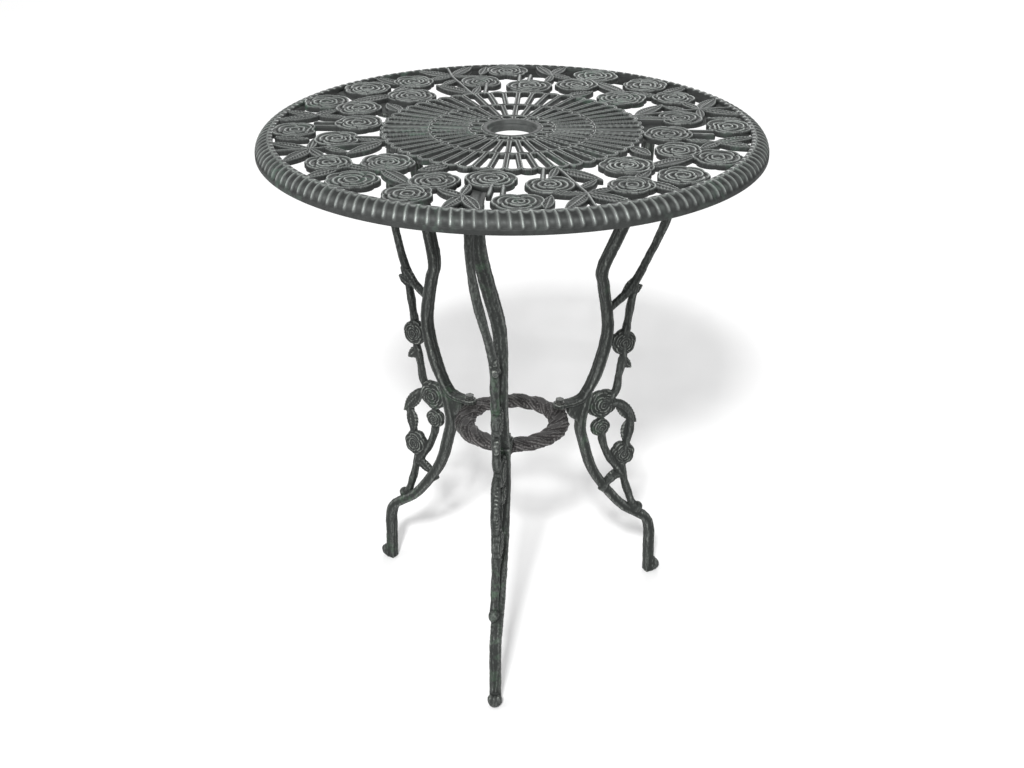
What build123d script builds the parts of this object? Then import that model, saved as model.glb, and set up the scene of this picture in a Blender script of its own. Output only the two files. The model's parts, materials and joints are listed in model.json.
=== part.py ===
"""Cast garden bistro table: a pierced round top on three rose-vine legs and a wreath ring.

Frame: millimetres, +Z up, origin on the floor under the centre of the top.
The front leg stands towards -Y.  Angles are degrees, counter-clockwise from +X.
Every piece is one closed solid, written to parts/NODE.step.
"""
from build123d import *
import os
from math import cos, pi, radians, sin

# ---- driving dimensions ----------------------------------------------------
table_diameter = 600.0
table_height = 675.0
leg_count = 3
front_leg_angle = -90.0

# tabletop
plate_thickness = 7.0
rim_width = 20.0
rim_depth = 21.0
rim_wall = 6.0
rim_lip = 4.0
rim_crest = 3.0
rim_overlap = 2.0
hub_radius = 35.0
hub_depth = 12.0
pole_hole_radius = 25.0
counterbore_radius = 29.0
counterbore_depth = 4.0
pattern_turn = -87.5
pattern_repeats = 4

# sunburst: rings of arched gaps, from the hub outwards
sunburst_radii = [35.0, 50.0, 97.0, 153.0]
sunburst_gaps = [16, 36, 52]
spoke_width = 6.0
ring_band = 4.5
groove_depth = 1.2

# one quadrant of roses: distance from the centre, angle from the first spoke, radius
roses = [
    (238.0, -54.7, 25.5),
    (251.0, -39.7, 28.5),
    (254.0, -22.4, 27.5),
    (254.0, 4.5, 26.5),
    (186.0, -44.2, 29.5),
    (205.0, -20.8, 27.0),
    (183.0, -3.9, 28.0),
    (205.0, 14.4, 26.0),
]

# one quadrant of leaves: (distance, angle) of the base and of the tip, then the width
leaves = [
    ((158.0, 22.6), (208.0, 30.6), 16.0),
    ((222.0, 21.9), (205.0, 29.6), 10.0),
    ((241.0, 22.1), (236.0, 30.5), 11.0),
    ((241.0, 22.1), (282.0, 29.4), 16.0),
    ((241.0, 22.1), (285.0, 13.8), 14.0),
    ((241.0, 22.1), (230.0, 12.5), 10.0),
    ((152.0, 21.8), (186.0, 15.6), 9.0),
    ((238.0, -49.5), (284.0, -48.3), 15.0),
    ((226.0, -51.0), (214.0, -42.0), 12.0),
    ((205.0, -40.5), (230.0, -24.0), 17.0),
    ((152.0, -24.0), (184.0, -30.5), 16.0),
    ((238.0, -9.2), (284.0, -3.4), 13.0),
    ((238.0, -9.2), (284.0, -11.5), 13.0),
    ((243.0, -9.0), (226.0, -16.5), 13.0),
    ((204.0, -9.5), (242.0, -9.6), 9.0),
    ((274.0, 10.2), (236.0, 13.2), 11.0),
]

# one quadrant of straight stems: (distance, angle) of both ends, then the width
stems = [
    ((150.0, 22.1), (241.0, 22.1), 4.5),
    ((241.0, 22.1), (284.0, 20.7), 4.5),
    ((150.0, 16.3), (193.0, 12.8), 6.0),
    ((204.0, -2.9), (234.0, -2.9), 6.0),
    ((204.0, 0.6), (234.0, 0.6), 6.0),
]

# knots where leaves and stems of one quadrant meet: distance, angle, radius
knots = [
    (241.0, 22.1, 6.0),
    (239.0, -9.2, 6.0),
]

# mounting bars under the top, one over each leg
bar_width = 22.0
bar_depth = 15.0
bar_inner_radius = 138.0
bar_slope = 20.0
bar_slope_reach = 54.0
bar_slope_height = 16.0
bolt_radii = [154.0, 190.0]

# legs: sideways sway of the upper half, and section sizes (in the leg's plane, across it)
sway = 22.0
sway_start_z = 430.0
sway_rise = 180.0
flange_thickness = 6.0
flange_width = 20.0
flange_inner_radius = 143.0
flange_outer_radius = 223.0
section_pitch = 16.0
stem_depth = 11.0
stem_breadth = 16.5
foot_depth = 12.0
foot_breadth = 13.5
vine_diameter = 9.8
vine_side = -4.0
rose_thickness = 14.0
leaf_thickness = 8.0
toe_radius = 9.5
toe_reach = 219.0
toe_height = 8.5
bud_radius = 8.5

# a leg's outlines in its own plane: (distance from the centre, height)
upper_stem_points = [
    (172, 650), (167, 600), (142, 525), (124, 476), (128, 449), (135.6, 390), (122.5, 335),
    (104, 302), (90, 294.8), (78, 294), (68, 294),
]
lower_stem_points = [
    (108, 306), (99, 263), (103, 235), (121, 181), (159.5, 126), (186, 104), (203, 90),
    (210, 72), (211, 40), (212, 0),
]
gusset_points = [(78, 294), (101, 294), (100, 262), (94, 268), (78, 281)]
vines = [
    [(207, 650), (209, 620), (210, 580), (206, 540), (197, 510), (186, 483), (174, 457),
     (160, 438), (136, 421)],
    [(171, 448), (165, 417), (162, 395), (158, 368)],
    [(158, 368), (157, 345), (152, 322), (148, 300), (134, 286)],
    [(129, 284), (152, 281), (168, 266), (172, 244), (168, 222), (162, 202)],
    [(127, 250), (132, 224), (141, 203), (153, 184), (160, 172)],
    [(160, 190), (166, 160), (173, 138), (179, 122), (188, 108)],
    [(164, 172), (150, 170), (138, 162), (130, 152)],
]

# roses on a leg: distance, height, radius; leaves: base, tip, width; the bud: distance, height
leg_roses = [
    (158, 368, 17.0),
    (129, 284, 20.5),
    (162, 202, 17.5),
    (127, 250, 12.5),
]
leg_leaves = [
    ((160, 434), (182, 443), 11.0),
    ((178, 456), (152, 433), 12.0),
    ((152, 346), (170, 330), 11.0),
    ((150, 284), (181, 246), 15.0),
    ((170, 252), (166, 218), 15.0),
    ((162, 178), (134, 162), 12.0),
]
bud_point = (187, 112)

# ring joint
strap_z = 294.0
strap_thickness = 6.0
strap_breadth = 18.0
strap_start = 0.78
gusset_breadth = 12.0
ring_bolt_radius = 68.0

# wreath ring
wreath_radius = 60.5
wreath_band = 30.0
wreath_height = 15.0
wreath_leaves = 24
wreath_scallop = 2.5
wreath_leaf_width = 17.0
wreath_leaf_overlap = 2.1
wreath_leaf_lean = 28.0

# fasteners: M6 bolts, washers and nuts
bolt_diameter = 6.0
bolt_clearance = 6.6
tapped_clearance = 6.1
head_across_flats = 10.0
head_height = 4.0
nut_height = 5.0
washer_diameter = 12.0
washer_thickness = 1.6
spring_washer_diameter = 10.6
spring_washer_thickness = 1.6
spring_gap = 1.2
seat_margin = 1.0
seat_height = 20.0
spring_split_angle = 25.0
thread_reach = 11.0
thread_spare = 3.0

# ---- derived sizes ---------------------------------------------------------
table_radius = table_diameter / 2
rim_inner = table_radius - rim_width
plate_bottom = table_height - plate_thickness
bar_bottom = table_height - plate_thickness - bar_depth
flange_top = bar_bottom
strap_top = strap_z + strap_thickness / 2
strap_bottom = strap_z - strap_thickness / 2
wreath_top = strap_bottom
wreath_bottom = wreath_top - wreath_height
leg_angles = [front_leg_angle + 360.0 / leg_count * i for i in range(leg_count)]
leg_names = ["front", "right", "left"]


# ---- small helpers ---------------------------------------------------------
def polar(distance, angle):
    """Point in the XY plane at a distance and an angle in degrees."""
    return Vector(distance * cos(radians(angle)), distance * sin(radians(angle)))


def smooth(x):
    """Smooth step from 0 to 1 as x goes from 0 to 1."""
    x = min(max(x, 0.0), 1.0)
    return x * x * (3 - 2 * x)


def leaf_face(base, tip, width):
    """Pointed leaf outline between two points of the XY plane."""
    along = tip - base
    side = Vector(-along.Y, along.X).normalized() * (width / 2)
    middle = (base + tip) * 0.5
    one_edge = ThreePointArc(base, middle + side, tip)
    other_edge = ThreePointArc(tip, middle - side, base)
    return make_face([one_edge, other_edge])


def bar_face(start, end, width):
    """Straight bar outline between two points of the XY plane."""
    along = end - start
    angle = Vector(1, 0).get_signed_angle(along)
    middle = (start + end) * 0.5
    return Pos(middle.X, middle.Y) * Rot(0, 0, angle) * Rectangle(along.length, width)


def repeat_round(shapes, count):
    """Copies of shapes, turned evenly round the Z axis."""
    return [Rot(0, 0, 360.0 / count * i) * shape for i in range(count) for shape in shapes]


def write(node, solid):
    """Write one named piece to its own file."""
    solid.label = node
    export_step(solid, f"parts/{node}.step")


# ---- tabletop --------------------------------------------------------------
def sunburst_gap(inner, outer, count):
    """Gap between two spokes, with an arched outer end."""
    low = inner + ring_band / 2
    half_low = low * radians(180.0 / count) - spoke_width / 2
    shoulder = outer - ring_band / 2 - 1.0
    half_high = shoulder * radians(180.0 / count) - spoke_width / 2
    half_low = max(half_low, 0.8)
    half_high = max(half_high, 1.2)
    arch = min(half_high, 5.0)
    left = Line((low, -half_low), (shoulder - arch, -half_high))
    crown = ThreePointArc((shoulder - arch, -half_high), (shoulder, 0), (shoulder - arch, half_high))
    right = Line((shoulder - arch, half_high), (low, half_low))
    base = Line((low, half_low), (low, -half_low))
    return make_face([left, crown, right, base])


def sunburst_face():
    """Disc with a scalloped edge, cut by three rings of gaps between spokes."""
    outer = sunburst_radii[-1]
    count = sunburst_gaps[-1]
    scallop_radius = outer * radians(180.0 / count)
    scallop = Pos(outer - scallop_radius * 0.6, 0) * Circle(scallop_radius)
    half_step = Rot(0, 0, 180.0 / count)
    disc = Sketch() + [Circle(outer - 3.0)] + repeat_round([half_step * scallop], count)
    gaps = []
    for ring, ring_gaps in enumerate(sunburst_gaps):
        gap = sunburst_gap(sunburst_radii[ring], sunburst_radii[ring + 1], ring_gaps)
        gaps += repeat_round([Rot(0, 0, 180.0 / ring_gaps) * gap], ring_gaps)
    return disc - gaps


def rose_field_face():
    """Roses, leaves and stems between the sunburst and the rim."""
    quadrant = []
    for distance, angle, radius in roses:
        centre = polar(distance, angle)
        quadrant.append(Pos(centre.X, centre.Y) * Circle(radius))
    for base, tip, width in leaves:
        quadrant.append(leaf_face(polar(*base), polar(*tip), width))
    for start, end, width in stems:
        quadrant.append(bar_face(polar(*start), polar(*end), width))
    for distance, angle, radius in knots:
        centre = polar(distance, angle)
        quadrant.append(Pos(centre.X, centre.Y) * Circle(radius))
    return repeat_round(quadrant, pattern_repeats)


def rose_grooves():
    """Ring-shaped grooves that mark the petals of every rose."""
    quadrant = []
    for distance, angle, radius in roses:
        centre = polar(distance, angle)
        for share in (0.36, 0.68):
            ring = Circle(radius * share + 1.0) - Circle(radius * share - 1.0)
            quadrant.append(Pos(centre.X, centre.Y) * ring)
    return Sketch() + repeat_round(quadrant, pattern_repeats)


def rim():
    """Rolled rim: a quarter round that turns down to a straight lip."""
    top = table_height
    bottom = top - rim_depth
    shoulder = bottom + rim_lip
    crest = rim_inner + rim_crest
    inner = rim_inner - rim_overlap
    lip_inner = table_radius - rim_wall
    with BuildSketch(Plane.XZ) as section:
        with BuildLine():
            Line((inner, top), (crest, top))
            RadiusArc((crest, top), (table_radius, shoulder), table_radius - crest)
            Line((table_radius, shoulder), (table_radius, bottom))
            Line((table_radius, bottom), (lip_inner, bottom))
            Line((lip_inner, bottom), (lip_inner, shoulder))
            Line((lip_inner, shoulder), (rim_inner + rim_wall, plate_bottom))
            Line((rim_inner + rim_wall, plate_bottom), (inner, plate_bottom))
            Line((inner, plate_bottom), (inner, top))
        make_face()
    return revolve(section.sketch, Axis.Z)


def mounting_bar():
    """Bar under the top along +X, from the sunburst to the rim, with two tapped holes."""
    end = rim_inner + 2 * rim_overlap
    length = end - bar_inner_radius
    middle = bar_inner_radius + length / 2
    bar = Pos(middle, -sway, plate_bottom - bar_depth / 2) * Box(length, bar_width, bar_depth)
    slope = Pos(end, -sway, bar_bottom) * Rot(0, -bar_slope, 0)
    bar -= slope * Box(2 * bar_slope_reach, 2 * bar_width, bar_slope_height)
    for radius in bolt_radii:
        hole_depth = bar_depth - 2.0
        hole = Cylinder(tapped_clearance / 2, hole_depth)
        bar -= Pos(radius, -sway, bar_bottom + hole_depth / 2) * hole
    return bar


def make_tabletop():
    pattern = Sketch() + [sunburst_face()] + [Circle(hub_radius)] + rose_field_face()
    pattern = Rot(0, 0, pattern_turn) * pattern
    plate = Pos(0, 0, plate_bottom) * extrude(pattern, plate_thickness)
    hub = Pos(0, 0, table_height - hub_depth / 2) * Cylinder(hub_radius, hub_depth)
    bars = [Rot(0, 0, angle) * mounting_bar() for angle in leg_angles]
    top = plate + rim() + hub + bars
    grooves = Rot(0, 0, pattern_turn) * rose_grooves()
    top -= Pos(0, 0, table_height - groove_depth) * extrude(grooves, groove_depth + 1.0)
    top -= Pos(0, 0, table_height) * Cylinder(counterbore_radius, 2 * counterbore_depth)
    top -= Pos(0, 0, table_height - hub_depth / 2) * Cylinder(pole_hole_radius, hub_depth + 2)
    return top


# ---- legs, built in the XZ plane with +X outwards --------------------------
def side_at(z):
    """Sideways position (Y) of a leg's plane at height z."""
    return -sway * smooth((z - sway_start_z) / sway_rise)


def leg_curve(points, side=0.0):
    """Smooth curve through points of (x, z) in the leg's plane."""
    return Spline([Vector(x, side_at(z) + side, z) for x, z in points])


def loft_along(curve, outline_at):
    """Solid along a curve; outline_at(share) is the section at a share of its length."""
    steps = max(3, round(curve.length / section_pitch))
    sections = []
    for i in range(steps + 1):
        share = i / steps
        plane = Plane(origin=curve @ share, x_dir=Vector(0, 1, 0), z_dir=curve % share)
        sections.append(plane * outline_at(share))
    return loft(sections)


def stem_outline(depth, breadth):
    """Section of a stem: a rectangle with well rounded corners."""
    return RectangleRounded(breadth, depth, 0.42 * min(depth, breadth))


def vine(points):
    """Round vine through points of (x, z), on the vine's own side of the leg."""
    return loft_along(leg_curve(points, vine_side), lambda share: Circle(vine_diameter / 2))


def leg_rose(x, z, radius):
    """Two-sided rose: a round boss with rounded edges and a ring groove on each face."""
    boss = Cylinder(radius, rose_thickness)
    boss = fillet(boss.edges(), rose_thickness * 0.3)
    for face in (1, -1):
        groove = Cylinder(radius * 0.5 + 1.0, 2.0) - Cylinder(radius * 0.5 - 1.0, 2.0)
        boss -= Pos(0, 0, face * rose_thickness / 2) * groove
    return Pos(x, side_at(z) + vine_side * 0.5, z) * Rot(90, 0, 0) * boss


def leg_leaf(base, tip, width):
    """Leaf in the leg's plane."""
    outline = leaf_face(Vector(*base), Vector(*tip), width)
    blade = extrude(outline, leaf_thickness / 2, both=True)
    middle_z = (base[1] + tip[1]) / 2
    return Pos(0, side_at(middle_z) + vine_side * 0.5, 0) * Rot(90, 0, 0) * blade


def upper_stem():
    """From the flange down to the strap over the wreath ring, where it flattens."""

    def outline(share):
        flat = smooth((share - strap_start) / (1 - strap_start - 0.05))
        depth = stem_depth + (strap_thickness - stem_depth) * flat
        breadth = stem_breadth + (strap_breadth - stem_breadth) * flat
        return stem_outline(depth, breadth)

    return loft_along(leg_curve(upper_stem_points), outline)


def lower_stem():
    """From the junction down to the foot, growing squarer on the way."""

    def outline(share):
        depth = stem_depth + (foot_depth - stem_depth) * share
        breadth = stem_breadth + (foot_breadth - stem_breadth) * share
        return stem_outline(depth, breadth)

    return loft_along(leg_curve(lower_stem_points), outline)


def gusset():
    """Web that stiffens the corner between strap and lower stem."""
    outline = make_face(Polyline(*gusset_points, close=True))
    web = extrude(outline, gusset_breadth / 2, both=True)
    return Rot(90, 0, 0) * web


def flange():
    """Flat flange that carries the ends of stem and vine; the bolts go each side of the stem."""
    outline = SlotOverall(flange_outer_radius - flange_inner_radius, flange_width)
    plate = extrude(outline, flange_thickness)
    middle = (flange_inner_radius + flange_outer_radius) / 2
    return Pos(middle, -sway, flange_top - flange_thickness) * plate


def make_leg():
    """One leg casting: stem, strap, vine, roses and leaves in one piece."""
    strap_end = Cylinder(strap_breadth / 2, strap_thickness)
    pieces = [upper_stem(), lower_stem(), flange(), gusset()]
    pieces.append(Pos(ring_bolt_radius, 0, strap_z) * strap_end)
    pieces += [vine(points) for points in vines]
    pieces += [leg_rose(*rose) for rose in leg_roses]
    pieces += [leg_leaf(*leaf) for leaf in leg_leaves]
    pieces.append(Pos(bud_point[0], vine_side, bud_point[1]) * Sphere(bud_radius))
    pieces.append(Pos(toe_reach, 0, toe_height) * Sphere(toe_radius))
    leg = pieces[0].fuse(*pieces[1:])
    below = 8 * toe_radius
    leg -= Pos(toe_reach, 0, -below / 2) * Box(2 * below, 2 * below, below)
    leg -= Pos(ring_bolt_radius, 0, strap_z) * Cylinder(bolt_clearance / 2, strap_thickness * 4)
    seat = Cylinder(washer_diameter / 2 + seat_margin, seat_height)
    leg -= Pos(ring_bolt_radius, 0, strap_top + seat_height / 2) * seat
    for radius in bolt_radii:
        hole = Cylinder(bolt_clearance / 2, flange_thickness * 2.2)
        leg -= Pos(radius, -sway, flange_top - flange_thickness / 2) * hole
    return leg


# ---- wreath ring -----------------------------------------------------------
def make_wreath():
    """Garland ring with scalloped edges and a bolt hole under each strap."""
    inner = wreath_radius - wreath_band / 2
    outer = wreath_radius + wreath_band / 2
    ring = Cylinder(outer - wreath_scallop, wreath_height) - Cylinder(inner + wreath_scallop, 99)
    ring = fillet(ring.edges(), wreath_height * 0.3)
    leaf_length = 2 * pi * wreath_radius / wreath_leaves * wreath_leaf_overlap
    for i in range(wreath_leaves):
        side = 1 if i % 2 else -1
        leaf = leaf_face(Vector(-leaf_length / 2, 0), Vector(leaf_length / 2, 0), wreath_leaf_width)
        pad = extrude(leaf, wreath_height / 2 - 1.0, both=True)
        shift = wreath_band * 0.2 * side
        lean = wreath_leaf_lean * side
        angle = 360.0 / wreath_leaves * i
        ring += Rot(0, 0, angle) * Pos(wreath_radius + shift, 0) * Rot(0, 0, 90 + lean) * pad
    for angle in leg_angles:
        hole = Cylinder(bolt_clearance / 2, wreath_height * 2)
        ring -= Rot(0, 0, angle) * Pos(ring_bolt_radius, 0) * hole
    return Pos(0, 0, (wreath_top + wreath_bottom) / 2) * ring


# ---- fasteners, standing on z = 0 and pointing up --------------------------
def hexagon(height):
    """Hexagonal prism with its corners rounded off by a cone."""
    prism = extrude(RegularPolygon(head_across_flats / 2, 6, major_radius=False), height)
    cone = Cone(head_across_flats * 0.56 + height, head_across_flats * 0.56 - 0.5, height + 0.5,
                align=(Align.CENTER, Align.CENTER, Align.MIN))
    return prism & cone


def bolt(length):
    """Hex bolt, head up, shank down from z = 0."""
    shank = Cylinder(bolt_diameter / 2, length, align=(Align.CENTER, Align.CENTER, Align.MAX))
    shank = chamfer(shank.edges().sort_by(Axis.Z)[0], 0.6)
    return hexagon(head_height) + shank


def nut():
    """Hex nut standing on z = 0."""
    return hexagon(nut_height) - Cylinder(tapped_clearance / 2, nut_height * 3)


def washer():
    """Flat washer standing on z = 0."""
    low = (Align.CENTER, Align.CENTER, Align.MIN)
    disc = Cylinder(washer_diameter / 2, washer_thickness, align=low)
    return disc - Cylinder(bolt_clearance / 2, washer_thickness * 3)


def spring_washer():
    """Split spring washer standing on z = 0."""
    low = (Align.CENTER, Align.CENTER, Align.MIN)
    disc = Cylinder(spring_washer_diameter / 2, spring_washer_thickness, align=low)
    ring = disc - Cylinder(bolt_clearance / 2, spring_washer_thickness * 3)
    reach = spring_washer_diameter / 2
    split = Pos(reach / 2, 0, 0) * Rot(spring_split_angle, 0, 0) * Box(reach + 2, spring_gap, reach)
    return ring - split


# ---- write every piece -----------------------------------------------------
os.makedirs("parts", exist_ok=True)
write("tabletop", make_tabletop())
leg_casting = make_leg()
for name, angle in zip(leg_names, leg_angles):
    write(f"leg_{name}", Rot(0, 0, angle) * leg_casting)
write("wreath_ring", make_wreath())

top_bolt = bolt(flange_thickness + washer_thickness + spring_washer_thickness + thread_reach)
ring_bolt = bolt(washer_thickness * 2 + strap_thickness + wreath_height + nut_height + thread_spare)
for name, angle in zip(leg_names, leg_angles):
    for radius, place in zip(bolt_radii, ["inner", "outer"]):
        under_flange = Rot(0, 0, angle) * Pos(radius, -sway, flange_top - flange_thickness) * Rot(180, 0, 0)
        write(f"top_washer_{place}_{name}", under_flange * washer())
        level = washer_thickness
        write(f"top_spring_washer_{place}_{name}", under_flange * Pos(0, 0, level) * spring_washer())
        level += spring_washer_thickness
        write(f"top_bolt_{place}_{name}", under_flange * Pos(0, 0, level) * top_bolt)
    over_strap = Rot(0, 0, angle) * Pos(ring_bolt_radius, 0, strap_top)
    write(f"ring_washer_upper_{name}", over_strap * washer())
    write(f"ring_bolt_{name}", over_strap * Pos(0, 0, washer_thickness) * ring_bolt)
    under_ring = Rot(0, 0, angle) * Pos(ring_bolt_radius, 0, wreath_bottom) * Rot(180, 0, 0)
    write(f"ring_washer_lower_{name}", under_ring * washer())
    write(f"ring_nut_{name}", under_ring * Pos(0, 0, washer_thickness) * nut())
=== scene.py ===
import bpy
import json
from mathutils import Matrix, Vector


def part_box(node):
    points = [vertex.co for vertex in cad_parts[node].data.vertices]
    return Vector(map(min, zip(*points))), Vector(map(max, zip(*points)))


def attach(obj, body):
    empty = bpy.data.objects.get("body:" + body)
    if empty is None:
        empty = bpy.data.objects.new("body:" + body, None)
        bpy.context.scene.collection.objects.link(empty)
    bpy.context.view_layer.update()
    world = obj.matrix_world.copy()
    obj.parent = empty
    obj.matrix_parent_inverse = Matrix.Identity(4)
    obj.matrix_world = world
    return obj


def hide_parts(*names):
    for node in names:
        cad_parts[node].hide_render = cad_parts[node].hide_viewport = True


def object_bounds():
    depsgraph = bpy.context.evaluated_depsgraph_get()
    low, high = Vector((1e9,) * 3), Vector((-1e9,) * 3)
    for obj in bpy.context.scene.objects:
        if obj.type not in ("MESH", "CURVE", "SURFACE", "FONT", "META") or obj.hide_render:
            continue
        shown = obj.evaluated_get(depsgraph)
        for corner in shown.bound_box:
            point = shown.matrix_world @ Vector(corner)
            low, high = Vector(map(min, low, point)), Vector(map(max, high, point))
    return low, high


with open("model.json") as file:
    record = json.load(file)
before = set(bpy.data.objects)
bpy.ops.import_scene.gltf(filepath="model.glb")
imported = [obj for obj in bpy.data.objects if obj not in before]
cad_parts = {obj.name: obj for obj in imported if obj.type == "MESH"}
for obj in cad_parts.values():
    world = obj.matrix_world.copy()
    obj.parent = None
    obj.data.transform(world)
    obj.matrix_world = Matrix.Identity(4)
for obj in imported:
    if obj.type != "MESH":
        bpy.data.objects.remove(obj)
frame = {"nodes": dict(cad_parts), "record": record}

"""Looks of the cast bistro table.

Shapes are worked out in millimetres in numpy and become meshes in metres, in the frame's own axes.
The top is a relief: one grid of heights with the openings cut along smooth outlines.
Legs and wreath are built from swept stems, roses and leaves, and fused by a voxel remesh.
"""
import json
import math

import bpy
import numpy as np
from mathutils import Vector, noise

MM = 0.001
ROOT = "root"
cad_low, cad_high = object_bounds()
mounts = {mount["name"]: mount for mount in frame["record"]["mounts"]}

# ---- sizes, in millimetres, from the frame ---------------------------------
table_height = cad_high[2] / MM
table_radius = (cad_high[0] - cad_low[0]) / 2 / MM
hole_radius = mounts["parasol_hole"]["dims"]["r_mm"]
leg_names = ["front", "right", "left"]
foot_points = [mounts["foot_" + name]["pos_m"] for name in leg_names]
leg_angles = [math.atan2(point[1], point[0]) for point in foot_points]
flange_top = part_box("leg_front")[1][2] / MM
wreath_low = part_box("wreath_ring")[0][2] / MM
wreath_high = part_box("wreath_ring")[1][2] / MM

# ---- sizes of the casting pattern ------------------------------------------
plate_thickness = 7.0
rim_width, rim_depth, rim_lip = 20.0, 21.0, 4.0
rim_inner = table_radius - rim_width
hub_radius = 35.0
hub_depth = 12.0
counterbore_radius = 29.0
counterbore_depth = 4.0
pattern_turn = math.radians(-87.5)
pattern_repeats = 4
sunburst_radii = [35.0, 50.0, 97.0, 153.0]
sunburst_gaps = [16, 36, 52]
spoke_width = 6.0
ring_band = 4.5

# one quadrant: distance, angle from the first spoke, radius, style, number of outer petals
roses = [
    (238.0, -54.7, 26.0, "open", 6),
    (251.0, -39.7, 28.5, "open", 7),
    (254.0, -22.4, 28.0, "open", 6),
    (254.0, 4.5, 27.0, "heart", 5),
    (186.0, -44.2, 29.5, "shell", 7),
    (205.0, -20.8, 27.0, "open", 6),
    (183.0, -3.9, 28.0, "open", 5),
    (205.0, 14.4, 26.5, "heart", 4),
]

# one quadrant: (distance, angle) of base and tip, width
leaves = [
    ((158.0, 22.6), (210.0, 30.8), 17.0),
    ((224.0, 21.9), (205.0, 29.6), 11.0),
    ((241.0, 22.1), (236.0, 31.5), 12.0),
    ((241.0, 22.1), (283.0, 29.4), 17.0),
    ((241.0, 22.1), (286.0, 13.8), 15.0),
    ((241.0, 22.1), (230.0, 12.5), 10.0),
    ((152.0, 21.8), (188.0, 15.6), 9.5),
    ((238.0, -49.5), (286.0, -48.3), 16.0),
    ((226.0, -51.0), (214.0, -42.0), 13.0),
    ((205.0, -40.5), (230.0, -24.0), 18.0),
    ((152.0, -24.0), (186.0, -30.5), 17.0),
    ((238.0, -9.2), (286.0, -3.4), 14.0),
    ((238.0, -9.2), (286.0, -11.5), 14.0),
    ((243.0, -9.0), (226.0, -17.5), 14.0),
    ((204.0, -9.5), (243.0, -9.6), 10.0),
    ((276.0, 10.2), (236.0, 13.2), 12.0),
]

# one quadrant: (distance, angle) of both ends, width
stems = [
    ((150.0, 22.1), (241.0, 22.1), 4.5),
    ((241.0, 22.1), (285.0, 20.7), 4.5),
    ((150.0, 16.3), (193.0, 12.8), 6.0),
    ((204.0, -2.9), (234.0, -2.9), 6.0),
    ((204.0, 0.6), (234.0, 0.6), 6.0),
]


# ---- meshes from arrays ----------------------------------------------------
def mesh_from(name, points, faces):
    """Mesh from an array of points in millimetres and arrays of faces, each N by 3 or N by 4."""
    groups = [np.asarray(group, np.int64) for group in faces if len(group)]
    loops = np.concatenate([group.ravel() for group in groups])
    sizes = np.concatenate([np.full(len(group), group.shape[1]) for group in groups])
    starts = np.concatenate([[0], np.cumsum(sizes)[:-1]])
    mesh = bpy.data.meshes.new(name)
    mesh.vertices.add(len(points))
    mesh.vertices.foreach_set("co", (np.asarray(points, float) * MM).ravel())
    mesh.loops.add(len(loops))
    mesh.loops.foreach_set("vertex_index", loops)
    mesh.polygons.add(len(sizes))
    mesh.polygons.foreach_set("loop_start", starts)
    mesh.update(calc_edges=True)
    mesh.validate()
    mesh.shade_smooth()
    return mesh


def grid_faces(rows, columns, close_rows):
    """Quads of a grid of points stored row by row, where each row is a closed loop."""
    i = np.arange(rows if close_rows else rows - 1)
    i, j = [part.ravel() for part in np.meshgrid(i, np.arange(columns), indexing="ij")]
    here, below, beside = i * columns, (i + 1) % rows * columns, (j + 1) % columns
    return np.stack([here + j, below + j, below + beside, here + beside], 1)


def ring_solid(turn, radius, height):
    """Closed ring: a row of section points (radius, height) at each angle of turn."""
    points = np.stack([radius * np.cos(turn), radius * np.sin(turn), height + 0 * turn], 2)
    return points.reshape(-1, 3), [grid_faces(len(turn), radius.shape[1], True)]


def full_turn(steps):
    return np.arange(steps) / steps * 2 * math.pi


def level_row(x, y, height):
    return np.stack([x, y, np.full(len(x), height)], 1)


def outward(points, faces):
    """The same solid with its faces turned to look outwards."""
    volume = 0.0
    for group in faces:
        a, b, c = points[group[:, 0]], points[group[:, 1]], points[group[:, 2]]
        volume += (a * np.cross(b, c)).sum()
        if group.shape[1] == 4:
            d = points[group[:, 3]]
            volume += (a * np.cross(c, d)).sum()
    return points, faces if volume > 0 else [group[:, ::-1] for group in faces]


def joined(parts):
    """One (points, faces) pair from several; faces are lists of triangle and quad arrays."""
    points, faces, count = [], [], 0
    for part_points, part_faces in [outward(*part) for part in parts]:
        points.append(part_points)
        faces += [np.asarray(group) + count for group in part_faces if len(group)]
        count += len(part_points)
    return np.concatenate(points), faces


def points_and_normals(mesh):
    """Points in millimetres and their normals, each N by 3."""
    points, normals = np.empty(len(mesh.vertices) * 3), np.empty(len(mesh.vertices) * 3)
    mesh.vertices.foreach_get("co", points)
    mesh.vertex_normals.foreach_get("vector", normals)
    return points.reshape(-1, 3) / MM, normals.reshape(-1, 3)


relief_rounds, relief_scale = 5, 0.24
leg_relief_level, wreath_relief_level = 0.20, 0.16


def store_relief(mesh, values):
    layer = mesh.attributes.new("relief", "FLOAT", "POINT")
    layer.data.foreach_set("value", np.asarray(values, np.float32))


def add_relief(mesh, level):
    """Stores how far each point stands out of (+) or into (-) the smoothed surface round it."""
    count = len(mesh.vertices)
    points, normals = points_and_normals(mesh)
    ends = np.empty(len(mesh.edges) * 2, np.int64)
    mesh.edges.foreach_get("vertices", ends)
    ends = ends.reshape(-1, 2)
    one_way, other_way = np.concatenate([ends, ends[:, ::-1]]).T
    share = 1.0 / np.maximum(np.bincount(one_way, minlength=count), 1)
    smooth = points.copy()
    for _ in range(relief_rounds):
        for axis in range(3):
            total = np.bincount(one_way, smooth[other_way, axis], minlength=count)
            smooth[:, axis] = total * share
    height = ((points - smooth) * normals).sum(1) - level
    store_relief(mesh, np.tanh(height / relief_scale))


def placed(name, data):
    """A new object in the scene."""
    thing = bpy.data.objects.new(name, data)
    bpy.context.scene.collection.objects.link(thing)
    return thing


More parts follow.
